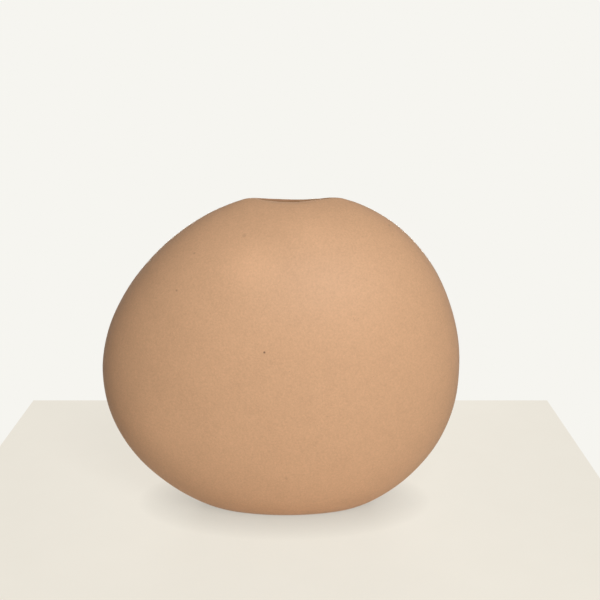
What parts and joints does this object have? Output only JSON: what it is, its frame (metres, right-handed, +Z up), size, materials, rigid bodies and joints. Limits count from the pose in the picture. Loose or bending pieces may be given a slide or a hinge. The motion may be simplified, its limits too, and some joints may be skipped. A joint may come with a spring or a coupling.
{
  "type": "pillow vase",
  "caption": "Matte tan stoneware vase shaped like a lopsided pillow, standing on a flattened foot, with a narrow dipped slot at the crown for stems.",
  "frame": {"origin": "on the surface the vase stands on, under the middle of its width and depth", "axes": "+Z up, +X along the width towards the fuller shoulder, +Y from the front to the back"},
  "size_m": [0.2437, 0.116, 0.215],
  "materials": {
    "stoneware": "matte",
    "luting_clay": "matte",
    "lining": "gloss"
  },
  "bodies": {
    "root": {"front_half": "stoneware", "back_half": "stoneware", "seam_coils": "luting_clay", "base_slab": "stoneware", "base_coil": "luting_clay", "glaze_lining": "lining"}
  },
  "joints": []
}
